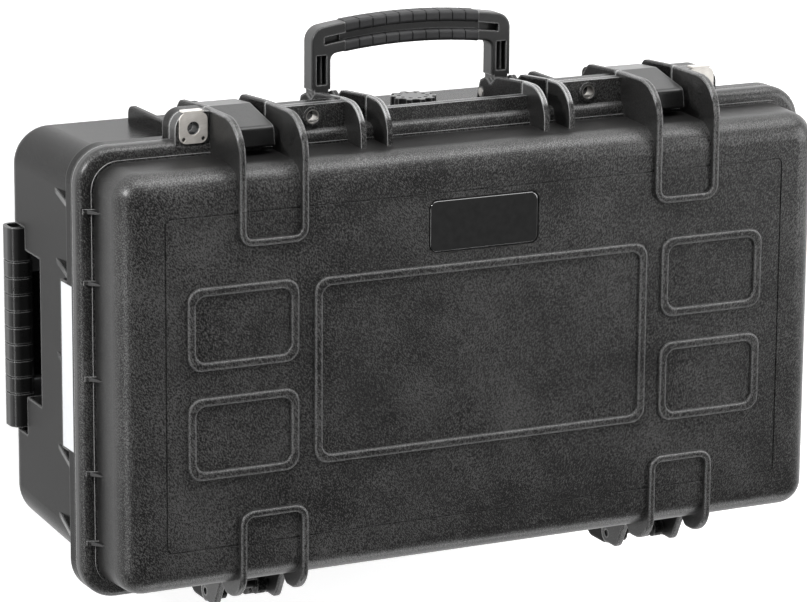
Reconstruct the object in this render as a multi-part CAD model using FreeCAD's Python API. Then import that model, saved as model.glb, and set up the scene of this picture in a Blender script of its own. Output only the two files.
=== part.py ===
import FreeCAD, Part
import math
import os
from FreeCAD import Vector

# A hard trolley case lying on its base with the lid up.
# X runs along the length with the pull handle at the +X end, the latches and the
# carry handle face -Y, the hinges face +Y, and Z is up from the floor.

# Shell halves
flange_length = 550.0
flange_width = 308.0
flange_corner_radius = 25.0
flange_reach = 10.0
flange_thickness = 12.0
flange_edge_radius = 3.0
lid_flange_round = 6.5
foot_bead = 1.2
parting_gap = 0.3
seam_round = 0.7
wall = 4.0
foot_height = 7.0
base_depth = 157.0
base_lean = 4.5
base_corner_radius = 26.0
base_edge_radius = 20.0
lid_height = 57.0
lid_lean = 2.0
lid_corner_radius = 18.0
lid_edge_radius = 17.0

# Stiffening gussets on the end flanges
gusset_thickness = 3.2
gusset_drop = 47.0
gusset_inset = 1.0
gusset_places = (-113.0, -65.0, 0.0, 65.0, 113.0)
bridge_rise = 5.0

# Seal ring in the lid flange
seal_width = 4.0
seal_height = 3.0
seal_offset = 1.0
seal_slack = 0.1

# Relief on the lid face
groove_half_length = 233.5
groove_half_width = 113.6
groove_width = 1.2
groove_depth = 0.6
groove_corner_radius = 4.5
frame_rib = 6.0
frame_rise = 2.0
frame_corner_radius = 10.0
frame_round = 1.4
small_frame_inner_x = 137.5
small_frame_outer_x = 218.0
small_frame_inner_y = 9.0
small_frame_outer_y = 65.5
big_frame_half_length = 126.4
big_frame_half_width = 64.0

# Name plate, left bare
badge_half_length = 40.8
badge_half_width = 17.6
badge_centre_y = 90.1
badge_thickness = 2.4
badge_sink = 1.6
badge_corner_radius = 5.5
badge_slack = 0.7
badge_round = 1.4

# Ribs that run over the lid shoulder to the latches and the hinges
rib_centre_share = 0.56727
rib_span = 50.0
rib_thickness = 5.0
rib_rise = 3.0
rib_start_y = 90.0
rib_bend_radius = 10.0
rib_shoulder_radius = 26.0
rib_round = 1.4
fin_reach = 19.5

# Base fins beside each latch
fin_back_depth = 40.0
fin_back_drop = 2.5
fin_knee_depth = 58.0
fin_knee_radius = 12.0
fin_tail_rise = 9.5
fin_tail_depth = 130.0
fin_tail_radius = 6.0
fin_tip_radius = 5.0

# Latch levers
latch_width = 30.0
latch_skin = 3.0
latch_pin_radius = 2.5
latch_pin_depth = 32.0
latch_pin_reach = 7.0
latch_barrel_radius = 5.5
latch_barrel_slack = 0.5
latch_back_depth = 41.0
latch_back_reach = 14.5
latch_knee_depth = 13.0
latch_knee_reach = 16.5
latch_front_rise = 25.0
latch_front_reach = 8.0
latch_lip_rise = 27.5
latch_lip_bite = 5.0
latch_lip_depth = 12.0
latch_cheek_clear = 1.5
latch_bend_radius = 4.0
latch_notch_clear = 0.6
latch_notch_half_width = 17.0
latch_lift_radius = 1.2

# Padlock lugs outside the latches
lug_length = 24.5
lug_reach = 18.5
lug_thickness = 11.0
lug_corner_radius = 11.0
lug_hole_radius = 4.5
lug_hole_reach = 8.0
lug_hole_inset = 12.0
plate_thickness = 1.2
plate_half_length = 10.0
plate_half_width = 10.2
plate_corner_radius = 5.0
plate_tab_half_length = 7.0
plate_tab_drop = 6.0
plate_notch_radius = 1.4
plate_notch_inset = 3.0

# Padlock plates between the latches and the handle brackets
lock_plate_reach = 16.0
lock_plate_thickness = 8.0
lock_hole_reach = 8.0
bush_radius = 4.9
bush_boss_radius = 6.6
bush_boss_rise = 1.0
bush_bore_radius = 4.0
bush_proud = 0.4
middle_plate_reach = 9.0

# Carry handle brackets, handle and pins
bracket_inner_x = 59.5
bracket_outer_x = 79.0
bracket_thickness = 3.6
bracket_top_reach = 17.5
bracket_top_depth = 38.5
bracket_top_fall = 3.5
bracket_notch_depth = 46.5
bracket_notch_reach = 7.5
bracket_lug_depth = 53.5
bracket_lug_reach = 11.5
bracket_end_depth = 62.0
bracket_end_reach = 8.0
bracket_foot_depth = 67.5
bracket_round = 3.0
mid_fin_shoulder_radius = 22.0
mid_fin_rise = 34.0
handle_pivot_depth = 60.0
handle_pivot_reach = 9.5
handle_pin_radius = 3.0
handle_pin_proud = 0.8
handle_half_width = 76.5
handle_leg_width = 14.5
handle_thickness = 14.0
handle_leg_reach = 12.5
handle_length = 61.5
handle_arch_radius = 440.0
handle_bar_height = 20.0
handle_outer_radius = 11.0
handle_inner_radius = 5.0
handle_neck_width = 10.5
handle_neck_radius = 7.0
handle_pocket_width = 7.5
handle_pocket_depth = 9.0
handle_pocket_margin = 3.5
handle_edge_radius = 1.5
handle_rail = 7.4
handle_web = 5.0
handle_window_start = 54.0
handle_window_end = 67.0
handle_window_web = 2.5
handle_grip_half_length = 51.0
handle_grip_proud = 0.6
handle_grip_round = 2.6
handle_grip_segments = 10
handle_grip_groove = 0.9
handle_grip_groove_depth = 0.7

# Pressure valve
valve_depth = 51.5
valve_seat_radius = 18.5
valve_seat_rise = 2.0
valve_flange_radius = 17.0
valve_flange_thickness = 3.0
valve_stem_radius = 7.0
valve_nut_radius = 11.0
valve_nut_thickness = 5.0
valve_seal_radius = 11.5
valve_seal_thickness = 1.0
valve_knob_radius = 16.0
valve_knob_height = 7.0
valve_knob_lobes = 10
valve_lobe_radius = 3.0
valve_vent_radius = 1.6
valve_vent_ring_share = 0.62
valve_running_gap = 0.3
valve_spindle_radius = 3.5
valve_spindle_length = 4.0

# Hinges
hinge_reach = 8.0
hinge_knuckle_radius = 7.0
hinge_pin_radius = 2.5
hinge_pin_inset = 1.0
hinge_fin_thickness = 6.0
hinge_fin_gap = 2.5
hinge_fin_reach = 20.5
hinge_fin_notch_reach = 4.0
hinge_fin_notch_depth = 8.0
hinge_fin_top_depth = 10.5
hinge_fin_low_depth = 37.0
hinge_fin_foot_depth = 74.0
hinge_fin_radius = 9.0
hinge_lobe_inset = 0.5
hinge_lobe_depth = 24.0
hinge_lobe_radius = 20.0
hinge_lobe_tip_radius = 5.0
hinge_notch_inset = 7.5
hinge_notch_depth = 31.0
hinge_notch_radius = 2.5
hinge_knuckle_rise = 14.0
running_clearance = 0.05

# Pull handle on two telescopic tubes under the base
pocket_half_width = 66.0
pocket_depth = 24.0
pocket_end_x = -185.0
pocket_corner_radius = 6.0
pocket_mouth = 5.0
recess_floor_inset = 45.0
recess_half_width = 73.5
recess_height = 36.0
recess_sill = 3.5
finger_start_y = -58.0
finger_end_y = 46.0
finger_height = 66.0
recess_corner_radius = 10.0
finger_corner_radius = 20.0
cover_thickness = 3.0
cover_slack = 0.2
cover_screw_radius = 4.0
cover_screw_head = 1.2
screw_shank_radius = 1.8
screw_grip = 8.0
tube_half_spacing = 46.0
tube_width = 20.0
tube_height = 14.0
tube_corner_radius = 4.0
tube_wall = 1.2
inner_tube_gap = 0.6
tube_centre_rise = 14.5
clamp_length = 8.0
guide_length = 12.0
guide_clearance = 0.1
glide_length = 14.0
glide_clearance = 0.2
tube_back_stop = 10.0
grip_thickness = 18.0
grip_height = 20.0
grip_half_length = 71.0
grip_overhang = 7.0
grip_section_radius = 7.0
grip_core_inset = 2.6
grip_end_hollow = 3.0
grip_plain_length = 24.0
grip_groove_count = 9
grip_groove_width = 0.9
grip_groove_depth = 0.8
tube_seat_depth = 9.0

# Wheels
wheel_radius = 25.0
wheel_width = 22.0
wheel_floor_gap = 2.0
wheel_centre_inset = 30.0
wheel_centre_y = 108.0
well_clear = 3.0
well_side_clear = 1.0
axle_radius = 4.0
axle_seat = 3.0
tyre_thickness = 6.0
tyre_round = 4.0
hub_boss_radius = 9.0
hub_web = 5.0
hub_hole_radius = 3.2
hub_hole_count = 6
hub_hole_ring_share = 0.74

# Rubber feet
foot_half_length = 26.0
foot_half_width = 8.0
foot_end_inset = 95.0
foot_centre_y = 100.0
foot_round = 2.0

# White sticker and the pad that carries it level with the end flange
label_length = 113.0
label_width = 18.6
label_thickness = 0.4
label_centre_y = -3.4
label_slack = 0.2
label_margin = 1.6

# Overrun of cuts and the tolerance for picking edges
overrun = 5.0
pick = 0.001
crest_share = 0.2

# Places worked out from the sizes above
half_length = flange_length / 2
half_width = flange_width / 2
wall_half_length = half_length - flange_reach
wall_half_width = half_width - flange_reach
parting = foot_height + base_depth
base_top = parting - parting_gap / 2
lid_start = parting + parting_gap / 2
face = parting + lid_height
flange_under = base_top - flange_thickness
flange_over = lid_start + flange_thickness
front = -half_width
back = half_width
front_wall = -wall_half_width
fin_edge = front - fin_reach
rib_centre_x = half_length * rib_centre_share
lock_hole_x = (bracket_outer_x + rib_centre_x - rib_span / 2) / 2
foot_centre_x = half_length - foot_end_inset
rib_top = face + rib_rise
hinge_y = back + hinge_reach
latch_pin_y = front - latch_pin_reach
latch_pin_z = parting - latch_pin_depth
handle_pivot_y = front_wall - handle_pivot_reach
handle_pivot_z = parting - handle_pivot_depth
handle_tip_y = handle_pivot_y - handle_length
hinge_fin_edge = back + hinge_fin_reach
recess_floor = half_length - recess_floor_inset
pocket_front_x = recess_floor + pocket_mouth
tube_centre_z = foot_height + tube_centre_rise
grip_outer_x = wall_half_length - base_lean + grip_overhang
grip_inner_x = grip_outer_x - grip_thickness
grip_centre_z = tube_centre_z
grip_centre_x = grip_outer_x - grip_thickness / 2
wheel_x = -half_length + wheel_centre_inset
wheel_z = wheel_radius + wheel_floor_gap
middle_y = (handle_grip_proud - handle_tip_y - hinge_fin_edge) / 2
ends = (-1, 1)


def outline(corners, place):
    """Closed wire through corners (u, v, corner radius), set in space by place(u, v)."""
    edges = []
    count = len(corners)
    spots = []
    for index, (u, v, radius) in enumerate(corners):
        here = Vector(u, v, 0)
        before = Vector(corners[index - 1][0], corners[index - 1][1], 0) - here
        after = Vector(corners[(index + 1) % count][0], corners[(index + 1) % count][1], 0) - here
        if radius == 0:
            spots.append((here, None, here))
            continue
        before.normalize()
        after.normalize()
        half = before.getAngle(after) / 2
        inward = before + after
        inward.normalize()
        setback = radius / math.tan(half)
        top = here + inward * (radius / math.sin(half) - radius)
        spots.append((here + before * setback, top, here + after * setback))
    for index, (start, top, end) in enumerate(spots):
        last = spots[index - 1][2]
        if last.distanceToPoint(start) > pick:
            edges.append(Part.LineSegment(place(last.x, last.y), place(start.x, start.y)).toShape())
        if top is not None:
            arc = Part.Arc(place(start.x, start.y), place(top.x, top.y), place(end.x, end.y))
            edges.append(arc.toShape())
    return Part.Wire(edges)


def round_corners(x0, x1, y0, y1, radius):
    """Corners of a rounded rectangle for outline."""
    return [(x0, y0, radius), (x1, y0, radius), (x1, y1, radius), (x0, y1, radius)]


def slab(x0, x1, y0, y1, radius, z0, z1):
    """Rounded rectangle in plan, raised from z0 to z1."""
    wire = outline(round_corners(x0, x1, y0, y1, radius), lambda u, v: Vector(u, v, z0))
    return Part.Face(wire).extrude(Vector(0, 0, z1 - z0))


def box(x0, x1, y0, y1, z0, z1):
    """Plain block between two corners."""
    return Part.makeBox(x1 - x0, y1 - y0, z1 - z0, Vector(x0, y0, z0))


def side_plate(corners, x0, x1):
    """Plate between x0 and x1 whose outline is given in (y, z, radius)."""
    wire = outline(corners, lambda u, v: Vector(x0, u, v))
    return Part.Face(wire).extrude(Vector(x1 - x0, 0, 0))


def end_plate(corners, y0, y1):
    """Plate between y0 and y1 whose outline is given in (x, z, radius)."""
    wire = outline(corners, lambda u, v: Vector(u, y0, v))
    return Part.Face(wire).extrude(Vector(0, y1 - y0, 0))


def rod_x(radius, x0, x1, y, z):
    """Round bar along X."""
    return Part.makeCylinder(radius, x1 - x0, Vector(x0, y, z), Vector(1, 0, 0))


def rod_y(radius, y0, y1, x, z):
    """Round bar along Y."""
    return Part.makeCylinder(radius, y1 - y0, Vector(x, y0, z), Vector(0, 1, 0))


def rod_z(radius, z0, z1, x, y):
    """Round bar along Z."""
    return Part.makeCylinder(radius, z1 - z0, Vector(x, y, z0), Vector(0, 0, 1))


def level_edges(shape, z):
    """Edges that lie flat at height z."""
    return [e for e in shape.Edges if abs(e.BoundBox.ZMin - z) < pick and abs(e.BoundBox.ZMax - z) < pick]


def tub(half_x, half_y, lean, corner, edge, z_open, z_floor):
    """Leaning rounded block with its far end rounded, for a moulded shell or its cavity."""
    deep_x = half_x - lean
    deep_y = half_y - lean
    mouth = outline(round_corners(-half_x, half_x, -half_y, half_y, corner),
                    lambda u, v: Vector(u, v, z_open))
    floor = outline(round_corners(-deep_x, deep_x, -deep_y, deep_y, corner),
                    lambda u, v: Vector(u, v, z_floor))
    block = Part.makeLoft([mouth, floor], True, True)
    return block.makeFillet(edge, level_edges(block, z_floor))


def wall_x(z):
    """Half length of the base wall at height z."""
    return wall_half_length - base_lean * (base_top - z) / (base_top - foot_height)


def flange_ring(seam_z, free_z, radius):
    """Flange slab with its free outer edge rounded, and the edge at the seam softened."""
    ring = slab(-half_length, half_length, -half_width, half_width, flange_corner_radius,
                min(seam_z, free_z), max(seam_z, free_z))
    ring = ring.makeFillet(radius, level_edges(ring, free_z))
    return ring.makeFillet(seam_round, level_edges(ring, seam_z))


def rib_spans(side):
    """Spans in X of the two ribs beside a latch or a hinge."""
    low = side * rib_centre_x - rib_span / 2
    high = side * rib_centre_x + rib_span / 2
    return (low, low + rib_thickness), (high - rib_thickness, high)


def crest_edges(rib, sign):
    """Edges between the crest of a U-shaped rib and its upright walls."""
    crests = []
    for face in rib.Faces:
        u0, u1, v0, v1 = face.ParameterRange
        normal = face.normalAt((u0 + u1) / 2, (v0 + v1) / 2)
        closed_end = abs(face.CenterOfMass.y) < rib_start_y + rib_bend_radius and normal.z < crest_share
        if abs(normal.x) < crest_share and max(normal.z, sign * normal.y) > crest_share and not closed_end:
            crests.append(face)
    found = []
    for crest in crests:
        for edge in crest.Edges:
            shared = [other for other in crests if any(edge.isSame(near) for near in other.Edges)]
            bounds = edge.BoundBox
            across = bounds.YLength < pick and bounds.ZLength < pick
            if len(shared) == 1 and not (across and bounds.ZMin < rib_top - pick):
                found.append(edge)
    return found


def soft_plate(corners, x0, x1):
    """Plate as side_plate makes it, with the edges of its outline rounded below the parting."""
    plate = side_plate(corners, x0, x1)
    rims = [e for e in plate.Edges if e.BoundBox.XLength < pick and e.BoundBox.ZMin < base_top - pick]
    return plate.makeFillet(rib_round, rims)


def u_rib(side, far_y, shoulder):
    """U-shaped rib on the lid face whose legs follow the shoulder outline out to far_y."""
    centre = side * rib_centre_x
    x0 = centre - rib_span / 2
    x1 = centre + rib_span / 2
    sign = math.copysign(1, far_y)
    y_near = sign * rib_start_y
    y_far = far_y + sign * (rib_thickness + overrun)
    y_open = y_far + sign * rib_span
    inner_near = y_near + sign * rib_thickness
    inner_radius = rib_bend_radius - rib_thickness
    top = rib_top + overrun
    low = lid_start - hinge_knuckle_radius - overrun
    outer = slab(x0, x1, min(y_near, y_far), max(y_near, y_far), rib_bend_radius, low, top)
    hollow = slab(x0 + rib_thickness, x1 - rib_thickness, min(inner_near, y_open), max(inner_near, y_open),
                  inner_radius, low, top)
    rib = outer.cut(hollow).common(side_plate(shoulder, x0, x1)).removeSplitter()
    return rib.makeFillet(rib_round, crest_edges(rib, sign))


def latch_shoulder():
    """Outline of a latch rib from the face over the shoulder to the parting plane."""
    inside = front_wall + lid_edge_radius
    return [(-rib_start_y, lid_start, 0), (-rib_start_y, rib_top, 0),
            (fin_edge, rib_top, rib_shoulder_radius), (fin_edge, lid_start, 0), (inside, lid_start, 0)]


def hinge_shoulder():
    """Outline of a hinge rib from the face over the shoulder, round its lobe and out to its knuckle."""
    lobe_y = back - hinge_lobe_inset
    edge_y = hinge_y + hinge_knuckle_radius
    return [(rib_start_y, lid_start, 0), (rib_start_y, rib_top, 0), (lobe_y, rib_top, hinge_lobe_radius),
            (lobe_y, face - hinge_lobe_depth, hinge_lobe_tip_radius),
            (back - hinge_notch_inset, face - hinge_notch_depth, hinge_notch_radius),
            (edge_y, lid_start + hinge_knuckle_rise, hinge_knuckle_radius), (edge_y, parting, 0),
            (hinge_y, lid_start, 0)]


def mid_fin_shoulder():
    """Outline of the small lid fins in line with the handle brackets."""
    top = lid_start + mid_fin_rise
    edge = front - bracket_top_reach
    return [(edge, lid_start, 0), (edge, top, mid_fin_shoulder_radius), (front_wall + wall / 2, top, 0),
            (front_wall + wall / 2, lid_start, 0)]


def bracket_spans(side):
    """Spans in X of the two bracket plates on one side."""
    spans = []
    for centre in (bracket_inner_x, bracket_outer_x):
        low = side * centre - bracket_thickness / 2
        spans.append((low, low + bracket_thickness))
    return spans


def lug(side, z0, z1):
    """Rounded padlock lug beside a latch rib."""
    near = rib_centre_x + rib_span / 2 - rib_thickness
    far = rib_centre_x + rib_span / 2 + lug_length
    corners = [(side * near, front + flange_reach, 0), (side * near, front - lug_reach, 0),
               (side * far, front - lug_reach, lug_corner_radius), (side * far, front + flange_reach, 0)]
    wire = outline(corners, lambda u, v: Vector(u, v, z0))
    return Part.Face(wire).extrude(Vector(0, 0, z1 - z0))


def lug_hole_place(side):
    """Centre of a lug's padlock hole in plan."""
    x = rib_centre_x + rib_span / 2 + lug_hole_inset
    return side * x, front - lug_hole_reach


def lock_plate(side, z0, z1):
    """Flat plate from the outer bracket fin to the inner latch rib."""
    x0 = bracket_outer_x
    x1 = rib_centre_x - rib_span / 2 + rib_thickness / 2
    return box(min(side * x0, side * x1), max(side * x0, side * x1), front - lock_plate_reach,
               front + flange_reach, z0, z1)


def relief_frame(x0, x1, y0, y1):
    """Raised rounded frame on the lid face."""
    low = face - wall / 2
    top = face + frame_rise
    outer = slab(x0, x1, y0, y1, frame_corner_radius, low, top)
    hollow = slab(x0 + frame_rib, x1 - frame_rib, y0 + frame_rib, y1 - frame_rib,
                  frame_corner_radius - frame_rib / 2, low, top)
    ring = outer.cut(hollow)
    return ring.makeFillet(frame_round, level_edges(ring, top))


def seal_ring(inset, z0, z1):
    """Ring that follows the wall, used for the seal and its groove."""
    half = seal_width / 2 - inset
    mid_x = wall_half_length + seal_offset
    mid_y = wall_half_width + seal_offset
    corner = flange_corner_radius - flange_reach + seal_offset
    outer = slab(-mid_x - half, mid_x + half, -mid_y - half, mid_y + half, corner + half, z0, z1)
    hollow = slab(-mid_x + half, mid_x - half, -mid_y + half, mid_y - half, corner - half, z0, z1)
    return outer.cut(hollow)


def lid_foot_bead():
    """Low bead round the foot of the dome, on the flange."""
    half_x = wall_half_length + foot_bead
    half_y = wall_half_width + foot_bead
    return slab(-half_x, half_x, -half_y, half_y, lid_corner_radius + foot_bead,
                lid_start, flange_over + foot_bead)


def lid_shell():
    """Domed lid with its flange, ribs, latch recesses, padlock lugs and relief."""
    solid = tub(wall_half_length, wall_half_width, lid_lean, lid_corner_radius, lid_edge_radius,
                lid_start, face)
    added = [flange_ring(lid_start, flange_over, lid_flange_round), lid_foot_bead()]
    for side in ends:
        added.append(u_rib(side, fin_edge, latch_shoulder()))
        added.append(u_rib(side, hinge_y + hinge_knuckle_radius, hinge_shoulder()))
        for x0, x1 in rib_spans(side):
            added.append(rod_x(hinge_knuckle_radius, x0, x1, hinge_y, parting))
        for x0, x1 in bracket_spans(side):
            added.append(side_plate(mid_fin_shoulder(), x0, x1))
        added.append(lug(side, lid_start, lid_start + lug_thickness))
        added.append(lock_plate(side, lid_start, lid_start + lock_plate_thickness))
        added.append(rod_z(bush_boss_radius, lid_start, lid_start + lock_plate_thickness + bush_boss_rise,
                           side * lock_hole_x, front - lock_hole_reach))
        for y in gusset_places:
            inside = side * (wall_half_length - lid_lean - wall / 2)
            outside = side * (half_length - lid_flange_round / 2)
            low = lid_start + seam_round
            added.append(end_plate([(inside, low, 0), (outside, low, 0), (outside, flange_over, 0),
                                    (inside, flange_over + bridge_rise, 0)],
                                   y - gusset_thickness / 2, y + gusset_thickness / 2))
        for way in ends:
            x0 = side * small_frame_inner_x
            x1 = side * small_frame_outer_x
            y0 = way * small_frame_inner_y
            y1 = way * small_frame_outer_y
            added.append(relief_frame(min(x0, x1), max(x0, x1), min(y0, y1), max(y0, y1)))
    added.append(box(-bracket_inner_x, bracket_inner_x, front - middle_plate_reach, front + flange_reach,
                     lid_start, lid_start + lock_plate_thickness))
    added.append(relief_frame(-big_frame_half_length, big_frame_half_length,
                              -big_frame_half_width, big_frame_half_width))
    solid = solid.fuse(added).removeSplitter()

    removed = [tub(wall_half_length - wall, wall_half_width - wall, lid_lean, lid_corner_radius - wall,
                   lid_edge_radius - wall, lid_start - overrun, face - wall)]
    removed.append(seal_ring(0, lid_start - overrun, lid_start + seal_height))
    removed.append(badge_block(0, face - badge_sink, face + overrun, badge_slack))
    outer_groove = slab(-groove_half_length, groove_half_length, -groove_half_width, groove_half_width,
                        groove_corner_radius, face - groove_depth, face)
    inner_groove = slab(-groove_half_length + groove_width, groove_half_length - groove_width,
                        -groove_half_width + groove_width, groove_half_width - groove_width,
                        groove_corner_radius - groove_width, face - groove_depth, face)
    removed.append(outer_groove.cut(inner_groove))
    for side in ends:
        centre = side * rib_centre_x
        lip_y = front + latch_lip_bite + latch_notch_clear
        removed.append(box(centre - latch_notch_half_width, centre + latch_notch_half_width, fin_edge, lip_y,
                           lid_start - overrun, flange_over + overrun))
        x, y = lug_hole_place(side)
        removed.append(rod_z(lug_hole_radius, lid_start - overrun, lid_start + lug_thickness + overrun, x, y))
        removed.append(rod_z(bush_radius, lid_start - overrun, flange_over + overrun, side * lock_hole_x,
                             front - lock_hole_reach))
        for x0, x1 in rib_spans(side):
            removed.append(rod_x(hinge_pin_radius + running_clearance, x0 - overrun / 2, x1 + overrun / 2,
                                 hinge_y, parting))
    for cutter in removed:
        solid = solid.cut(cutter)
    return solid.removeSplitter()


def badge_block(rounding, z0, z1, slack):
    """Block of the name plate's outline, also used to sink its seat."""
    half_x = badge_half_length + slack
    half_y = badge_half_width + slack
    block = slab(-half_x, half_x, -badge_centre_y - half_y, -badge_centre_y + half_y,
                 badge_corner_radius + slack, z0, z1)
    if rounding:
        block = block.makeFillet(rounding, level_edges(block, z1))
    return block


def badge_plate():
    """Bare domed name plate sunk in the lid face."""
    low = face - badge_sink
    return badge_block(badge_round, low, low + badge_thickness, 0)


def lid_seal():
    """Square rubber ring that fills the groove of the lid flange."""
    return seal_ring(seal_slack, lid_start, lid_start + seal_height)


def fin_outline():
    """Outline of a base fin beside a latch, with its long low tail."""
    inside = front_wall + wall + base_lean
    tail_y = front_wall - fin_tail_rise + base_lean / 2
    return [(inside, base_top, 0), (fin_edge, base_top, 0),
            (fin_edge + fin_back_drop, base_top - fin_back_depth, fin_tip_radius),
            (tail_y, base_top - fin_knee_depth, fin_knee_radius),
            (tail_y, base_top - fin_tail_depth, fin_tail_radius),
            (inside, base_top - fin_tail_depth, 0)]


def bracket_outline():
    """Outline of a carry handle bracket plate with its notch and pivot lug."""
    inside = front_wall + wall + base_lean
    return [(inside, base_top, 0), (front - bracket_top_reach, base_top, 0),
            (front - bracket_top_reach + bracket_top_fall, base_top - bracket_top_depth, bracket_round),
            (front - bracket_notch_reach, base_top - bracket_notch_depth, 0),
            (front - bracket_lug_reach, base_top - bracket_lug_depth, bracket_round),
            (front - bracket_end_reach, base_top - bracket_end_depth, bracket_round),
            (front_wall - bracket_round, base_top - bracket_foot_depth, 0),
            (inside, base_top - bracket_foot_depth, 0)]


def hinge_fin_outline():
    """Outline of a base hinge fin, from the knuckle down to its foot on the wall."""
    inside = wall_half_width - wall - base_lean
    top = base_top - hinge_pin_radius
    return [(inside, top, 0), (hinge_y, top, 0),
            (hinge_y + hinge_fin_notch_reach, base_top - hinge_fin_notch_depth, 0),
            (hinge_fin_edge, base_top - hinge_fin_top_depth, hinge_fin_radius),
            (hinge_fin_edge, base_top - hinge_fin_low_depth, hinge_fin_radius),
            (wall_half_width, base_top - hinge_fin_foot_depth, 0),
            (inside, base_top - hinge_fin_foot_depth, 0)]


def hinge_fin_spans(side):
    """Spans in X of the two base hinge fins on one side."""
    inner = rib_centre_x - rib_span / 2 + rib_thickness + hinge_fin_gap
    outer = rib_centre_x + rib_span / 2 - rib_thickness - hinge_fin_gap
    spans = []
    for low, high in ((inner, inner + hinge_fin_thickness), (outer - hinge_fin_thickness, outer)):
        spans.append((min(side * low, side * high), max(side * low, side * high)))
    return spans


def pocket_block(grow, end_x):
    """Space under the base for the telescopic tubes, grown by a wall where asked."""
    return slab(pocket_end_x - grow, end_x, -pocket_half_width - grow, pocket_half_width + grow,
                pocket_corner_radius, foot_height - overrun, foot_height + pocket_depth + grow)


def recess_blocks(grow):
    """Space at the +X end for the pull grip and for the fingers above it."""
    x0 = recess_floor - grow
    x1 = half_length + overrun
    low = foot_height + recess_sill - grow
    seat = end_plate([(x0, low, 0), (x1, low, 0), (x1, foot_height + recess_height + grow, 0),
                      (x0, foot_height + recess_height + grow, recess_corner_radius)],
                     -recess_half_width - grow, recess_half_width + grow)
    fingers = end_plate([(x0, low, 0), (x1, low, 0), (x1, foot_height + finger_height + grow, 0),
                         (x0, foot_height + finger_height + grow, finger_corner_radius)],
                        finger_start_y - grow, finger_end_y + grow)
    return seat.fuse(fingers)


def well_block(side, grow):
    """Space for a wheel at the -X end."""
    half = wheel_width / 2 + well_side_clear + grow
    x1 = wheel_x + wheel_radius + well_clear + grow
    z1 = wheel_z + wheel_radius + well_clear + grow
    radius = wheel_radius + well_clear + grow
    return end_plate([(-half_length - overrun, foot_height - overrun, 0), (x1, foot_height - overrun, 0),
                      (x1, z1, radius), (-half_length - overrun, z1, 0)],
                     side * wheel_centre_y - half, side * wheel_centre_y + half)


def label_block(grow, proud):
    """Block of the sticker's outline, level with the end flange, also used to sink its seat."""
    top = base_top - label_margin
    half = label_length / 2 + grow
    return box(half_length - label_thickness, half_length + proud, label_centre_y - half,
               label_centre_y + half, top - label_width - grow, top + grow)


def label_pad():
    """Pad that fills the flange down behind the sticker."""
    half = label_length / 2 + label_margin
    low = base_top - label_width - 2 * label_margin
    return box(wall_half_length - base_lean, half_length, label_centre_y - half, label_centre_y + half,
               low, base_top - seam_round)


def base_shell():
    """Deep base with flange, fins, brackets, hinge fins, wheel wells and pull handle pocket."""
    solid = tub(wall_half_length, wall_half_width, base_lean, base_corner_radius, base_edge_radius,
                base_top, foot_height)
    added = [flange_ring(base_top, flange_under, flange_edge_radius), label_pad()]
    for side in ends:
        for x0, x1 in rib_spans(side):
            added.append(soft_plate(fin_outline(), x0, x1))
        for x0, x1 in bracket_spans(side):
            added.append(side_plate(bracket_outline(), x0, x1))
        for x0, x1 in hinge_fin_spans(side):
            added.append(side_plate(hinge_fin_outline(), x0, x1))
            added.append(rod_x(hinge_knuckle_radius, x0, x1, hinge_y, parting))
        added.append(lug(side, base_top - lug_thickness, base_top))
        added.append(lock_plate(side, base_top - lock_plate_thickness, base_top))
        for y in gusset_places:
            inside = side * (wall_half_length - base_lean)
            outside = side * (half_length - gusset_inset)
            top = base_top - seam_round
            foot = flange_under - gusset_drop
            added.append(end_plate([(inside, top, 0), (outside, top, 0), (outside, flange_under, 0),
                                    (side * wall_x(foot), foot, 0), (inside, foot, 0)],
                                   y - gusset_thickness / 2, y + gusset_thickness / 2))
    valve_z = parting - valve_depth
    added.append(rod_y(valve_seat_radius, front_wall - valve_seat_rise, front_wall + wall, 0, valve_z))
    solid = solid.fuse(added).removeSplitter()

    cavity = tub(wall_half_length - wall, wall_half_width - wall, base_lean, base_corner_radius - wall,
                 base_edge_radius - wall, base_top + overrun, foot_height + wall)
    cavity = cavity.cut(pocket_block(wall, recess_floor))
    cavity = cavity.cut(recess_blocks(wall))
    removed = [pocket_block(0, pocket_front_x), recess_blocks(0), label_block(label_slack, overrun)]
    for side in ends:
        cavity = cavity.cut(well_block(side, wall))
        removed.append(well_block(side, 0))
        removed.append(wheel_axle(side))
        x, y = lug_hole_place(side)
        removed.append(rod_z(lug_hole_radius, base_top - lug_thickness - overrun, base_top + overrun, x, y))
        removed.append(rod_z(bush_bore_radius, base_top - flange_thickness - overrun, base_top + overrun,
                             side * lock_hole_x, front - lock_hole_reach))
        for x0, x1 in rib_spans(side):
            removed.append(rod_x(latch_pin_radius, x0 - overrun / 2, x1 + overrun / 2,
                                 latch_pin_y, latch_pin_z))
        for x0, x1 in bracket_spans(side):
            removed.append(rod_x(handle_pin_radius, x0 - overrun / 2, x1 + overrun / 2,
                                 handle_pivot_y, handle_pivot_z))
        for x0, x1 in hinge_fin_spans(side):
            removed.append(rod_x(hinge_pin_radius, x0 - overrun / 2, x1 + overrun / 2, hinge_y, parting))
    removed.append(rod_y(valve_stem_radius, front_wall - valve_seat_rise - overrun,
                         front_wall + wall + base_lean, 0, valve_z))
    removed.append(cavity)
    for cutter in removed:
        solid = solid.cut(cutter)
    return solid.removeSplitter()


def hinge_pin(side):
    """Steel pin through one hinge."""
    half = rib_span / 2 - hinge_pin_inset
    return rod_x(hinge_pin_radius, side * rib_centre_x - half, side * rib_centre_x + half, hinge_y, parting)


def latch_pin(side):
    """Steel pin through the base fins and one latch lever."""
    centre = side * rib_centre_x
    return rod_x(latch_pin_radius, centre - rib_span / 2, centre + rib_span / 2, latch_pin_y, latch_pin_z)


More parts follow.
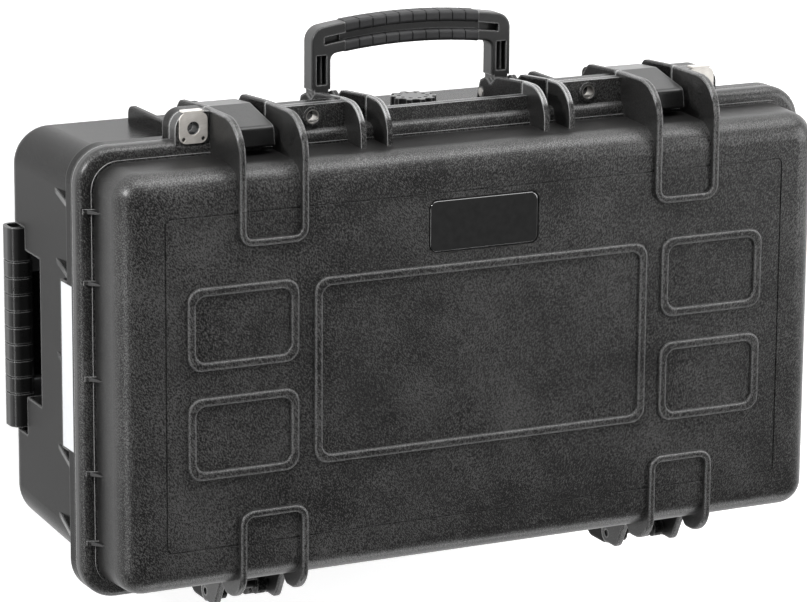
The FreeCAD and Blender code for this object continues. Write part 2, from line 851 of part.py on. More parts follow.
def latch_outline(inset):
    """Outline of a latch lever, moved inwards by inset for its hollow."""
    lip_y = front + latch_lip_bite
    inner_y = front - latch_cheek_clear
    back_y = front - latch_back_reach + inset
    knee_y = front - latch_knee_reach + inset
    front_y = front - latch_front_reach + inset
    back_z = base_top - latch_back_depth
    front_z = lid_start + latch_front_rise - inset
    lip_z = lid_start + latch_lip_rise - inset
    hook_z = lid_start + latch_front_rise - latch_lip_depth
    radius = max(latch_bend_radius - inset, pick)
    if inset:
        return [(inner_y + overrun, back_z - overrun, 0), (back_y, back_z - overrun, 0),
                (knee_y, base_top - latch_knee_depth, radius), (front_y, hook_z, 0),
                (inner_y + overrun, hook_z, 0)]
    return [(inner_y, back_z, 0), (back_y, back_z, radius), (knee_y, base_top - latch_knee_depth, radius),
            (front_y, front_z, radius), (lip_y, lip_z, latch_lift_radius), (lip_y, hook_z, latch_lift_radius),
            (inner_y, hook_z, 0)]


def latch_lever(side):
    """Hollow latch lever with a hook lip at the front and a barrel on its pin."""
    centre = side * rib_centre_x
    half = latch_width / 2
    lever = side_plate(latch_outline(0), centre - half, centre + half)
    hollow = side_plate(latch_outline(latch_skin), centre - half + latch_skin, centre + half - latch_skin)
    lever = lever.cut(hollow)
    barrel_half = rib_span / 2 - rib_thickness - latch_barrel_slack
    barrel = rod_x(latch_barrel_radius, centre - barrel_half, centre + barrel_half, latch_pin_y, latch_pin_z)
    bore = rod_x(latch_pin_radius + running_clearance, centre - rib_span / 2, centre + rib_span / 2,
                 latch_pin_y, latch_pin_z)
    return lever.fuse(barrel).cut(bore).removeSplitter()


def padlock_plate(side):
    """Steel plate with a bent tab on one lid padlock lug."""
    x, y = lug_hole_place(side)
    low = lid_start + lug_thickness
    edge = front - lug_reach
    plate = slab(x - plate_half_length, x + plate_half_length, edge, y + plate_half_width,
                 plate_corner_radius, low, low + plate_thickness)
    tab = box(x - plate_tab_half_length, x + plate_tab_half_length, edge - plate_thickness, edge,
              low - plate_tab_drop, low + plate_thickness)
    hole = rod_z(lug_hole_radius, low - overrun, low + overrun, x, y)
    plate = plate.fuse(tab).cut(hole)
    for way in ends:
        plate = plate.cut(rod_z(plate_notch_radius, low - overrun, low + overrun,
                                x + way * (plate_half_length - plate_notch_inset),
                                y + plate_half_width - plate_notch_inset))
    return plate.removeSplitter()


def padlock_bush(side):
    """Steel bush in one lid padlock plate."""
    x = side * lock_hole_x
    y = front - lock_hole_reach
    top = lid_start + lock_plate_thickness + bush_proud
    body = rod_z(bush_radius, lid_start, top, x, y)
    return body.cut(rod_z(bush_bore_radius, lid_start - overrun, top + overrun, x, y))


def handle_arc(drop, z0, z1):
    """Disc whose rim runs along the carry handle's bar, drop below its crown."""
    centre = Vector(0, handle_tip_y + handle_arch_radius, z0)
    return Part.makeCylinder(handle_arch_radius - drop, z1 - z0, centre)


def handle_band(half_x, outer_drop, inner_drop, z0, z1):
    """Stretch of the arched bar between two depths below its crown."""
    band = handle_arc(outer_drop, z0, z1).cut(handle_arc(inner_drop, z0, z1))
    return band.common(box(-half_x, half_x, handle_tip_y - overrun, handle_pivot_y, z0, z1))


def upright_edges(shape, x, y_low, y_high):
    """Edges along Z at distance x from the middle plane between two depths."""
    found = []
    for edge in shape.Edges:
        bounds = edge.BoundBox
        thin = bounds.XLength < pick and bounds.YLength < pick
        if thin and abs(abs(bounds.XMin) - x) < pick and y_low < bounds.YMin < y_high:
            found.append(edge)
    return found


def handle_levels():
    """Lower and upper face of the carry handle."""
    return handle_pivot_z - handle_thickness / 2, handle_pivot_z + handle_thickness / 2


def handle_frame():
    """Arched carry handle with pocketed legs, a recessed web, corner windows and pivot necks."""
    z0, z1 = handle_levels()
    leg_y = handle_pivot_y - handle_leg_reach
    inner = handle_half_width - handle_leg_width
    outside = box(-handle_half_width, handle_half_width, handle_tip_y, leg_y, z0, z1)
    inside = box(-inner, inner, handle_tip_y, leg_y, z0, z1)
    frame = handle_arc(0, z0, z1).common(outside)
    frame = frame.cut(handle_arc(handle_bar_height, z0, z1).common(inside))
    bar_y = handle_tip_y + handle_bar_height
    corners = upright_edges(frame, handle_half_width, handle_tip_y, bar_y)
    frame = frame.makeFillet(handle_outer_radius, corners)
    frame = frame.makeFillet(handle_inner_radius, upright_edges(frame, inner, handle_tip_y, leg_y - overrun))
    frame = frame.makeFillet(handle_edge_radius, level_edges(frame, z0) + level_edges(frame, z1))
    half = handle_grip_half_length
    frame = frame.cut(handle_band(half, -overrun, handle_rail, z0, z1))
    frame = frame.cut(handle_band(half, handle_bar_height - handle_rail, handle_bar_height + overrun, z0, z1))
    middle = handle_half_width - handle_leg_width / 2
    low_drop = handle_bar_height - handle_rail
    for face_low, face_high in ((z0, handle_pivot_z - handle_web / 2), (handle_pivot_z + handle_web / 2, z1)):
        frame = frame.cut(handle_band(handle_window_start, handle_rail, low_drop, face_low, face_high))
    for face_low, face_high in ((z0, handle_pivot_z - handle_window_web / 2),
                                (handle_pivot_z + handle_window_web / 2, z1)):
        window = handle_band(handle_window_end, handle_rail, low_drop, face_low, face_high)
        kept = handle_band(handle_window_start, 0, handle_bar_height, face_low, face_high)
        frame = frame.cut(window.cut(kept))
    for side in ends:
        x = side * middle
        neck = box(x - handle_neck_width / 2, x + handle_neck_width / 2, leg_y - handle_pocket_margin,
                   handle_pivot_y, handle_pivot_z - handle_neck_radius, handle_pivot_z + handle_neck_radius)
        eye = rod_x(handle_neck_radius, x - handle_neck_width / 2, x + handle_neck_width / 2,
                    handle_pivot_y, handle_pivot_z)
        frame = frame.fuse([neck, eye])
        pocket = box(x - handle_pocket_width / 2, x + handle_pocket_width / 2,
                     handle_tip_y + handle_bar_height + handle_inner_radius, leg_y - handle_pocket_margin,
                     z1 - handle_pocket_depth, z1 + overrun)
        bore = rod_x(handle_pin_radius + running_clearance, x - handle_leg_width, x + handle_leg_width,
                     handle_pivot_y, handle_pivot_z)
        frame = frame.cut(pocket).cut(bore)
    return frame.removeSplitter()


def handle_grip(outer_drop, inner_drop):
    """Soft segmented grip moulded on one rail of the carry handle's bar."""
    z0, z1 = handle_levels()
    half = handle_grip_half_length
    band = handle_band(half, outer_drop, inner_drop, z0 - handle_grip_proud, z1 + handle_grip_proud)
    long_edges = [e for e in band.Edges if e.BoundBox.XLength > half]
    band = band.makeFillet(handle_grip_round, long_edges)
    deep = handle_grip_groove_depth
    core = handle_band(half, outer_drop + deep, inner_drop - deep, z0 - handle_grip_proud + deep,
                       z1 + handle_grip_proud - deep)
    pitch = 2 * half / handle_grip_segments
    for index in range(1, handle_grip_segments):
        x = -half + pitch * index
        slice_box = box(x - handle_grip_groove / 2, x + handle_grip_groove / 2, handle_tip_y - overrun,
                        handle_pivot_y, z0 - overrun, z1 + overrun)
        band = band.cut(slice_box.cut(core))
    return band.removeSplitter()


def handle_grip_upper():
    """Grip on the outer rail."""
    return handle_grip(-handle_grip_proud, handle_rail)


def handle_grip_lower():
    """Grip on the inner rail, under the fingers."""
    return handle_grip(handle_bar_height - handle_rail, handle_bar_height + handle_grip_proud)


def handle_pin(side):
    """Steel rivet through one pair of bracket plates."""
    spans = bracket_spans(side)
    low = min(spans[0][0], spans[1][0]) - handle_pin_proud
    high = max(spans[0][1], spans[1][1]) + handle_pin_proud
    return rod_x(handle_pin_radius, low, high, handle_pivot_y, handle_pivot_z)


def valve_place():
    """Height of the valve axis and the outside of its seat."""
    return parting - valve_depth, front_wall - valve_seat_rise


def valve_body():
    """Valve body: flange on the seat, stem through the wall and spindle for the knob."""
    z, seat = valve_place()
    under = seat - valve_seal_thickness
    stem_end = front_wall + wall + valve_nut_thickness
    body = rod_y(valve_flange_radius, under - valve_flange_thickness, under, 0, z)
    stem = rod_y(valve_stem_radius, under, stem_end, 0, z)
    spindle = rod_y(valve_spindle_radius, under - valve_flange_thickness - valve_spindle_length,
                    under - valve_flange_thickness, 0, z)
    return body.fuse([stem, spindle]).removeSplitter()


def valve_seal():
    """Flat rubber ring between the valve flange and its seat."""
    z, seat = valve_place()
    ring = rod_y(valve_seal_radius, seat - valve_seal_thickness, seat, 0, z)
    return ring.cut(rod_y(valve_stem_radius, seat - overrun, seat + overrun, 0, z))


def valve_nut():
    """Round nut on the valve stem inside the base."""
    z, seat = valve_place()
    low = front_wall + wall + base_lean / 2
    nut = rod_y(valve_nut_radius, low, low + valve_nut_thickness, 0, z)
    return nut.cut(rod_y(valve_stem_radius, low - overrun, low + valve_nut_thickness + overrun, 0, z))


def valve_knob():
    """Lobed knob that turns on the valve spindle, with a ring of vents."""
    z, seat = valve_place()
    low = seat - valve_seal_thickness - valve_flange_thickness - valve_running_gap
    top = low - valve_knob_height
    knob = rod_y(valve_knob_radius, top, low, 0, z)
    knob = knob.cut(rod_y(valve_spindle_radius + running_clearance, low - valve_spindle_length, low + overrun,
                          0, z))
    for index in range(valve_knob_lobes):
        turn = 2 * math.pi * index / valve_knob_lobes
        rim_x = valve_knob_radius * math.cos(turn)
        rim_z = z + valve_knob_radius * math.sin(turn)
        knob = knob.cut(rod_y(valve_lobe_radius, top - overrun, low + overrun, rim_x, rim_z))
        vent = turn + math.pi / valve_knob_lobes
        ring = valve_knob_radius * valve_vent_ring_share
        knob = knob.cut(rod_y(valve_vent_radius, top - overrun, low + overrun, ring * math.cos(vent),
                              z + ring * math.sin(vent)))
    return knob.removeSplitter()


def tube_section(y, shrink, x0, x1):
    """Solid flat-oval bar along X about a telescopic tube's centre line."""
    half_y = tube_width / 2 - shrink
    half_z = tube_height / 2 - shrink
    radius = max(tube_corner_radius - shrink, pick)
    corners = round_corners(y - half_y, y + half_y, tube_centre_z - half_z, tube_centre_z + half_z, radius)
    wire = outline(corners, lambda u, v: Vector(x0, u, v))
    return Part.Face(wire).extrude(Vector(x1 - x0, 0, 0))


def both_tubes(maker):
    """Compound of one solid for each of the two tubes."""
    return Part.makeCompound([maker(side * tube_half_spacing) for side in ends])


def tube_back_x():
    """Closed end of the outer tubes."""
    return pocket_end_x + clamp_length


def outer_tube(y):
    """Fixed outer tube."""
    x0 = tube_back_x()
    return tube_section(y, 0, x0, recess_floor).cut(tube_section(y, tube_wall, x0, recess_floor))


def inner_tube(y):
    """Sliding inner tube whose end is held in the grip."""
    x0 = tube_back_x() + tube_back_stop + glide_length
    x1 = grip_inner_x + grip_core_inset + tube_seat_depth
    shrink = tube_wall + inner_tube_gap
    return tube_section(y, shrink, x0, x1).cut(tube_section(y, shrink + tube_wall, x0, x1))


def tube_guide(y):
    """Plastic guide in the mouth of an outer tube."""
    x0 = recess_floor - guide_length
    return tube_section(y, tube_wall, x0, recess_floor).cut(
        tube_section(y, tube_wall + inner_tube_gap - guide_clearance, x0, recess_floor))


def tube_glide(y):
    """Plastic plug on the hidden end of an inner tube."""
    x0 = tube_back_x() + tube_back_stop
    return tube_section(y, tube_wall + glide_clearance, x0, x0 + glide_length)


def tube_clamp(x0, x1):
    """Block that holds both outer tubes between the cover and the pocket roof."""
    low = foot_height + cover_thickness
    block = box(x0, x1, -pocket_half_width + cover_slack, pocket_half_width - cover_slack, low,
                foot_height + pocket_depth)
    for side in ends:
        block = block.cut(tube_section(side * tube_half_spacing, 0, x0 - overrun, x1 + overrun))
    return block.cut(rod_z(screw_shank_radius, low - overrun, screw_tip_z(), (x0 + x1) / 2, 0))


def tube_bezel():
    """End piece round the tube mouths in the grip recess."""
    return tube_clamp(recess_floor - clamp_length, recess_floor)


def tube_rear_clamp():
    """Clamp near the closed ends of the tubes."""
    x0 = tube_back_x()
    return tube_clamp(x0, x0 + clamp_length)


def trolley_cover():
    """Flat cover over the tubes, flush with the underside of the base."""
    slack = cover_slack
    half = pocket_half_width - slack
    under = foot_height - overrun
    plate = slab(pocket_end_x + slack, pocket_front_x - slack, -half, half, pocket_corner_radius - slack,
                 foot_height, foot_height + cover_thickness)
    for x, y in cover_screw_places():
        plate = plate.cut(rod_z(screw_shank_radius, under, foot_height + overrun, x, y))
        plate = plate.cut(rod_z(cover_screw_radius, under, foot_height + cover_screw_head, x, y))
    return plate


def cover_screw_places():
    """Centres of the cover screws, down the middle of the cover."""
    x0 = pocket_end_x + clamp_length / 2 + clamp_length
    x1 = recess_floor - clamp_length / 2
    return [(x0, 0), (x1, 0)]


def screw_tip_z():
    """Height that the cover screws reach in the clamps."""
    return foot_height + cover_thickness + screw_grip


def cover_screws():
    """Screws that hold the cover to the two tube clamps."""
    screws = []
    for x, y in cover_screw_places():
        head = rod_z(cover_screw_radius, foot_height, foot_height + cover_screw_head, x, y)
        shank = rod_z(screw_shank_radius, foot_height + cover_screw_head, screw_tip_z(), x, y)
        screws.append(head.fuse(shank).removeSplitter())
    return Part.makeCompound(screws)


def grip_section(inset, y0, y1):
    """Rounded bar along Y about the pull grip's centre line."""
    half_x = grip_thickness / 2 - inset
    half_z = grip_height / 2 - inset
    radius = max(grip_section_radius - inset, pick)
    return end_plate(round_corners(grip_centre_x - half_x, grip_centre_x + half_x, grip_centre_z - half_z,
                                   grip_centre_z + half_z, radius), y0, y1)


def grip_core():
    """Hard core of the pull grip with its tube seats."""
    half = grip_half_length - grip_end_hollow
    core = grip_section(grip_core_inset, -half, half)
    shrink = tube_wall + inner_tube_gap
    for side in ends:
        core = core.cut(tube_section(side * tube_half_spacing, shrink, grip_inner_x - overrun,
                                     grip_inner_x + grip_core_inset + tube_seat_depth))
    return core


def grip_sleeve():
    """Tubular pull grip with open ends and thin finger grooves round its middle."""
    half = grip_half_length
    sleeve = grip_section(0, -half, half).cut(grip_section(grip_core_inset, -half, half))
    grooved = half - grip_plain_length
    pitch = 2 * grooved / (grip_groove_count - 1)
    for index in range(grip_groove_count):
        y = -grooved + pitch * index
        y0 = y - grip_groove_width / 2
        y1 = y + grip_groove_width / 2
        sleeve = sleeve.cut(grip_section(-overrun, y0, y1).cut(grip_section(grip_groove_depth, y0, y1)))
    shrink = tube_wall + inner_tube_gap
    for side in ends:
        sleeve = sleeve.cut(tube_section(side * tube_half_spacing, shrink, grip_inner_x - overrun,
                                         grip_centre_x))
    return sleeve.removeSplitter()


def ring_profile(rows, side):
    """Solid of revolution about a wheel's axle from (radius, offset along the axle) rows."""
    y = side * wheel_centre_y
    points = [Vector(wheel_x, y + offset, wheel_z + radius) for radius, offset in rows]
    points.append(points[0])
    face_of_turn = Part.Face(Part.makePolygon(points))
    return face_of_turn.revolve(Vector(wheel_x, y, wheel_z), Vector(0, 1, 0), 360)


def wheel_tyre(side):
    """Soft tyre with rounded shoulders."""
    rim = wheel_radius - tyre_thickness
    half = wheel_width / 2
    shoulder = half - tyre_round
    return ring_profile([(rim, -half), (wheel_radius - tyre_round, -half), (wheel_radius, -shoulder),
                         (wheel_radius, shoulder), (wheel_radius - tyre_round, half), (rim, half)], side)


def wheel_hub(side):
    """Hub with a boss, a thin web with holes and a rim under the tyre."""
    rim = wheel_radius - tyre_thickness
    half = wheel_width / 2
    web = hub_web / 2
    bore = axle_radius + running_clearance
    inner_rim = rim - hub_web / 2
    hub = ring_profile([(bore, -half), (hub_boss_radius, -half), (hub_boss_radius, -web), (inner_rim, -web),
                        (inner_rim, -half), (rim, -half), (rim, half), (inner_rim, half), (inner_rim, web),
                        (hub_boss_radius, web), (hub_boss_radius, half), (bore, half)], side)
    y = side * wheel_centre_y
    for index in range(hub_hole_count):
        turn = 2 * math.pi * index / hub_hole_count
        ring = inner_rim * hub_hole_ring_share
        hub = hub.cut(rod_y(hub_hole_radius, y - half, y + half, wheel_x + ring * math.cos(turn),
                            wheel_z + ring * math.sin(turn)))
    return hub


def wheel_axle(side):
    """Steel axle seated in both walls of a wheel well."""
    half = wheel_width / 2 + well_side_clear + axle_seat
    return rod_y(axle_radius, side * wheel_centre_y - half, side * wheel_centre_y + half, wheel_x, wheel_z)


def base_feet():
    """Four rubber feet under the base."""
    feet = []
    for side in ends:
        for way in ends:
            x = side * foot_centre_x
            y = way * foot_centre_y
            foot = slab(x - foot_half_length, x + foot_half_length, y - foot_half_width, y + foot_half_width,
                        foot_half_width - pick, 0, foot_height)
            feet.append(foot.makeFillet(foot_round, level_edges(foot, 0)))
    return Part.makeCompound(feet)


def end_label():
    """Blank white sticker in the shallow seat of its pad."""
    return label_block(0, 0)


os.makedirs("parts", exist_ok=True)
side_names = {-1: "right", 1: "left"}
nodes = {
    "base_shell": base_shell(),
    "lid_shell": lid_shell(),
    "lid_seal": lid_seal(),
    "badge_plate": badge_plate(),
    "carry_handle": handle_frame(),
    "handle_grip_upper": handle_grip_upper(),
    "handle_grip_lower": handle_grip_lower(),
    "valve_body": valve_body(),
    "valve_seal": valve_seal(),
    "valve_nut": valve_nut(),
    "valve_knob": valve_knob(),
    "trolley_outer_tubes": both_tubes(outer_tube),
    "trolley_inner_tubes": both_tubes(inner_tube),
    "trolley_tube_guides": both_tubes(tube_guide),
    "trolley_tube_glides": both_tubes(tube_glide),
    "trolley_bezel": tube_bezel(),
    "trolley_rear_clamp": tube_rear_clamp(),
    "trolley_cover": trolley_cover(),
    "trolley_cover_screws": cover_screws(),
    "trolley_grip_core": grip_core(),
    "trolley_grip_sleeve": grip_sleeve(),
    "base_feet": base_feet(),
    "end_label": end_label(),
}
for side in ends:
    name = side_names[side]
    nodes["hinge_pin_" + name] = hinge_pin(side)
    nodes["latch_lever_" + name] = latch_lever(side)
    nodes["latch_pin_" + name] = latch_pin(side)
    nodes["padlock_plate_" + name] = padlock_plate(side)
    nodes["padlock_bush_" + name] = padlock_bush(side)
    nodes["handle_pin_" + name] = handle_pin(side)
    nodes["wheel_tyre_" + name] = wheel_tyre(side)
    nodes["wheel_hub_" + name] = wheel_hub(side)
    nodes["wheel_axle_" + name] = wheel_axle(side)

for node, shape in nodes.items():
    shape.translate(Vector(0, middle_y, 0))
    shape.exportStep("parts/" + node + ".step")
    print(node, shape.isValid(), len(shape.Solids), round(shape.Volume))
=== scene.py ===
import math

import bmesh
import bpy
from mathutils import Matrix, Vector


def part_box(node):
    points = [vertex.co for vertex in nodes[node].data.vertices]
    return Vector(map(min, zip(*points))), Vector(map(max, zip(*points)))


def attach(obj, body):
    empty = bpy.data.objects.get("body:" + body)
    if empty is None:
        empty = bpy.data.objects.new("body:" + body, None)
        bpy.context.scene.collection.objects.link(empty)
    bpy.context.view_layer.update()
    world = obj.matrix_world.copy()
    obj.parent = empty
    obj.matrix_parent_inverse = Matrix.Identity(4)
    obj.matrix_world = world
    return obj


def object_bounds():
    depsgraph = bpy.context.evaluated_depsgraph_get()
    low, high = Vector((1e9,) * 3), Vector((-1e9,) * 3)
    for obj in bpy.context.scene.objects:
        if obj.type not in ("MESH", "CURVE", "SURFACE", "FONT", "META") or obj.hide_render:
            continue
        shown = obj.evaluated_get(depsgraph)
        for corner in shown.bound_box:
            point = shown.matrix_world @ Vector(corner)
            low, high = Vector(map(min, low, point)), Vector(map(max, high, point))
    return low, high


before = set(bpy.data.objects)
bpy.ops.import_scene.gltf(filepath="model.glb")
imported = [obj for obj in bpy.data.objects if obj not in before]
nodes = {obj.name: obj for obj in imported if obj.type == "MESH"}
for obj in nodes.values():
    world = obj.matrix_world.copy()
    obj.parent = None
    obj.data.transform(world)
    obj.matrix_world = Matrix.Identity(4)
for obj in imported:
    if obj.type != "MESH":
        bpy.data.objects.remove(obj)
cad_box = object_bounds()

# Base shell: the deep half of the case, injection moulded in black polypropylene.
# Its outside is spark-eroded to a fine grain that hides scratches, and the flow of the
# melt leaves faint slanting strokes and cloudy patches in the grain.
edge_softness = 0.0004
bevel_samples = 4
occlusion_samples = 6
edge_openness = (0.22, 0.38)
thin_openness = (0.52, 0.62)


class Wire:
    """A shader socket that takes part in sums and feeds other nodes."""

    def __init__(self, socket):
        self.socket = socket
        self.tree = socket.id_data

    def node(self, kind, settings=None, inputs=None, output=0):
        """A new node of that kind: its settings are made first, then its sockets are filled."""
        made = self.tree.nodes.new(kind)
        for name, value in (settings or {}).items():
            setattr(made, name, value)
        for name, value in (inputs or {}).items():
            if isinstance(value, Wire):
                self.tree.links.new(value.socket, made.inputs[name])
            else:
                made.inputs[name].default_value = value
        return Wire(made.outputs[output])

    def sum(self, operation, first, second=0.0):
        return self.node("ShaderNodeMath", {"operation": operation}, {0: first, 1: second})

    def __add__(self, other):
        return self.sum("ADD", self, other)

    def __radd__(self, other):
        return self.sum("ADD", other, self)

    def __sub__(self, other):
        return self.sum("SUBTRACT", self, other)

    def __rsub__(self, other):
        return self.sum("SUBTRACT", other, self)

    def __mul__(self, other):
        return self.sum("MULTIPLY", self, other)

    def __abs__(self):
        return self.sum("ABSOLUTE", self)

    def either(self, other):
        """The larger of this value and the other."""
        return self.sum("MAXIMUM", self, other)

    def noise(self, scale, detail=2.0, roughness=0.5):
        """Cloudy noise, about 0.5 in the middle, with that many cells to the metre."""
        return self.node("ShaderNodeTexNoise", {}, {"Vector": self, "Scale": scale, "Detail": detail,
                                                    "Roughness": roughness})

    def along(self, axis):
        """How far these coordinates lie along that axis, 0 for X to 2 for Z."""
        return self.node("ShaderNodeSeparateXYZ", {}, {"Vector": self}, axis)

    def drawn_out(self, turn, lengths):
        """These coordinates turned about Z by that angle, then drawn out along the new axes by the lengths."""
        return self.node("ShaderNodeMapping", {"vector_type": "TEXTURE"},
                         {"Vector": self, "Rotation": (0, 0, turn), "Scale": lengths})

    def spread(self, low, high):
        """This value spread out so that low becomes 0 and high becomes 1, without going past them."""
        return self.node("ShaderNodeMapRange", {"clamp": True},
                         {"Value": self, "From Min": low, "From Max": high})

    def mix(self, low, high):
        """The colour low where this value is 0 and high where it is 1."""
        low, high = [tone if isinstance(tone, Wire) else (*tone, 1) for tone in (low, high)]
        return self.node("ShaderNodeMix", {"data_type": "RGBA"}, {0: self, 6: low, 7: high}, 2)

    def bump(self, height):
        """A normal bent as if this value were a relief of that height in metres, over softened edges."""
        soft = self.node("ShaderNodeBevel", {"samples": bevel_samples}, {"Radius": edge_softness})
        return self.node("ShaderNodeBump", {}, {"Distance": height, "Height": self, "Normal": soft})

    def outer_edges(self, reach):
        """1 within that many metres of the outer edges, and 0 on flats, in corners and on thin rings."""
        room = self.node("ShaderNodeAmbientOcclusion",
                         {"inside": True, "only_local": True, "samples": occlusion_samples},
                         {"Distance": reach}, 1)
        openness = 1 - room
        return openness.spread(*edge_openness) - openness.spread(*thin_openness)


class Finish:
    """A material: constants sit on the shader's sockets, and wires feed what changes over the surface."""

    def __init__(self, name, **constants):
        self.material = bpy.data.materials.new(name)
        self.material.use_nodes = True
        self.tree = self.material.node_tree
        self.shader = self.tree.nodes["Principled BSDF"]
        for socket, value in constants.items():
            self.shader.inputs[socket.replace("_", " ")].default_value = value
        coordinates = self.tree.nodes.new("ShaderNodeTexCoord")
        self.place = Wire(coordinates.outputs["Object"])
        self.facing = Wire(coordinates.outputs["Normal"])

    def feed(self, socket, wire):
        self.tree.links.new(wire.socket, self.shader.inputs[socket])

    def on(self, *names):
        """Puts this finish on those nodes of the frame."""
        for name in names:
            mesh = nodes[name].data
            mesh.materials.clear()
            mesh.materials.append(self.material)


rib_rise = 0.003
lid_face = cad_box[1][2] - rib_rise
groove_depth = 0.0007
ledge_depth = 0.012
ledge_fade = 0.002
glint_reach = 0.0025
wall_shade_strength = 0.6

# How steep a face is, as the height of its normal, where each of these begins and ends
level_tilts = (0.15, 0.6)
crest_tilts = (0.6, 0.85)
ledge_tilts = (0.83, 0.89)
outside_tilts = (-0.7, -0.4)

stroke_turns = (math.radians(122), math.radians(62))
stroke_lengths = (3.0, 1.0, 1.0)
strokes_to_metre = 1800.0
specks_to_metre = 1400.0
clouds_to_metre = 16.0
patches_to_metre = 12.0
patch_wander = 0.6
patch_border = (0.27, 0.33)
light_grain = (0.495, 0.552)


def shell_finish(name, dark, light, glint_colour, smoothest, relief, **constants):
    """Grained polypropylene between two tones, with short strokes that slant two ways, a painted highlight along
    the outer edges and painted shade on steep walls.
    """
    finish = Finish(name, **constants)
    place = finish.place
    upward = finish.facing.along(2)
    clouds = place.noise(clouds_to_metre, detail=3.0, roughness=0.6)
    patches = (place.along(0) + place.noise(patches_to_metre) * patch_wander).spread(*patch_border)
    falling, rising = [place.drawn_out(turn, stroke_lengths).noise(strokes_to_metre, roughness=0.6)
                       for turn in stroke_turns]
    strokes = falling * patches + rising * (1 - patches)
    specks = place.noise(specks_to_metre, detail=1.0)
    # Painted shade: the tone of steep faces, whose normals lie near level, is darkened by up to a fixed fraction
    painted_wall_shade = (1 - abs(upward).spread(*level_tilts)) * wall_shade_strength
    grain = strokes * 0.8 + specks * 0.2 + clouds * 0.2 - 0.1
    tone = grain.spread(*light_grain) * (1 - painted_wall_shade)

    above_face = place.along(2) - lid_face
    off_groove = abs(above_face).spread(groove_depth, 2 * groove_depth)
    flank = above_face.spread(0, groove_depth) * (1 - upward.spread(*crest_tilts))
    outside = upward.spread(*outside_tilts)
    ledge = upward.spread(*ledge_tilts) * (1 - (above_face + ledge_depth).spread(0, ledge_fade))
    # Painted highlight: outer edges of faces that do not point down, away from the groove, rib flanks and face
    # ledge, take the light glint colour
    painted_glint = place.outer_edges(glint_reach) * off_groove * (1 - flank) * outside * (1 - ledge)
    finish.feed("Base Color", painted_glint.mix(tone.mix(dark, light), glint_colour))
    finish.feed("Roughness", smoothest + strokes * 0.16 + clouds * 0.04 - painted_glint * 0.08)
    finish.feed("Normal", (specks * 0.5 + strokes).bump(relief))
    return finish


# The base's glint colour is a painted highlight along its outer edges.
base = shell_finish("grained_base", dark=(0.006, 0.0059, 0.0058), light=(0.04, 0.0394, 0.0388),
                    glint_colour=(0.16, 0.16, 0.16), smoothest=0.14, relief=0.00004, IOR=1.13)
base.on("base_shell")

# Wheels: a rubber tyre moulded on a nylon hub that turns on a steel axle.
# The axle is pressed across the wheel well at the end away from the pull handle.
steel = Finish("satin_steel", Metallic=1.0, IOR=2.5)
brushed = steel.place.drawn_out(0.7, (1.0, 14.0, 1.0)).noise(2600.0, detail=3.0, roughness=0.6)
stain = steel.place.noise(90.0, detail=3.0)
steel.feed("Base Color", stain.spread(0.3, 0.7).mix((0.46, 0.44, 0.41), (0.62, 0.60, 0.57)))
steel.feed("Roughness", 0.2 + brushed * 0.22)
steel.feed("Normal", brushed.bump(0.000012))


def speckled_finish(name, dark, light, tones, scale, detail, fineness, smoothest, unevenness, relief,
                    **constants):
    """A material whose tone, roughness and relief all follow one fine noise."""
    finish = Finish(name, **constants)
    grain = finish.place.noise(scale, detail, fineness)
    finish.feed("Base Color", grain.spread(*tones).mix(dark, light))
    finish.feed("Roughness", smoothest + grain * unevenness)
    finish.feed("Normal", grain.bump(relief))
    return finish


tyre = speckled_finish("tyre_rubber", dark=(0.011, 0.011, 0.011), light=(0.035, 0.034, 0.033),
                       tones=(0.35, 0.75), scale=420.0, detail=4.0, fineness=0.65,
                       smoothest=0.6, unevenness=0.25, relief=0.00012, IOR=1.52, Specular_IOR_Level=0.35)
hub = speckled_finish("hub_nylon", dark=(0.035, 0.035, 0.036), light=(0.075, 0.075, 0.077),
                      tones=(0.3, 0.75), scale=700.0, detail=3.0, fineness=0.5,
                      smoothest=0.38, unevenness=0.18, relief=0.00003, IOR=1.53, Specular_IOR_Level=0.4)
for side in ("left", "right"):
    tyre.on("wheel_tyre_" + side)
    hub.on("wheel_hub_" + side)
    steel.on("wheel_axle_" + side)

# Pull handle: two anodised aluminium tubes that slide in outer tubes under the base.
# Nylon guides and glides keep them from rattling, and a screwed cover closes the channel.
aluminium = Finish("anodised_tube", Metallic=1.0, IOR=1.5)
drawn = aluminium.place.drawn_out(0, (50.0, 1.0, 1.0)).noise(2200.0, detail=3.0, roughness=0.6)
aluminium.feed("Base Color", drawn.spread(0.3, 0.7).mix((0.42, 0.43, 0.44), (0.52, 0.53, 0.54)))
aluminium.feed("Roughness", 0.26 + drawn * 0.2)
aluminium.feed("Normal", drawn.bump(0.000005))
aluminium.on("trolley_outer_tubes", "trolley_inner_tubes")

satin_edge_reach = 0.0012
satin = Finish("satin_nylon", IOR=1.53, Specular_IOR_Level=0.4)
fine = satin.place.noise(1500.0)
haze = satin.place.noise(35.0, detail=3.0)
satin_tone = (fine * 0.4 + haze * 0.6).spread(0.35, 0.65)
satin_colour = satin_tone.mix((0.006, 0.006, 0.006), (0.012, 0.012, 0.012))
# Painted highlight: the outer edges of the satin nylon are lightened towards grey
satin_edge_glint = satin.place.outer_edges(satin_edge_reach)
satin.feed("Base Color", satin_edge_glint.mix(satin_colour, (0.16, 0.16, 0.16)))
satin.feed("Roughness", 0.2 + haze * 0.12 + fine * 0.06)
satin.feed("Normal", fine.bump(0.00002))
satin.on("trolley_tube_guides", "trolley_tube_glides", "trolley_bezel", "trolley_rear_clamp",
         "trolley_grip_core", "trolley_grip_sleeve")

base.on("trolley_cover")
steel.on("trolley_cover_screws")

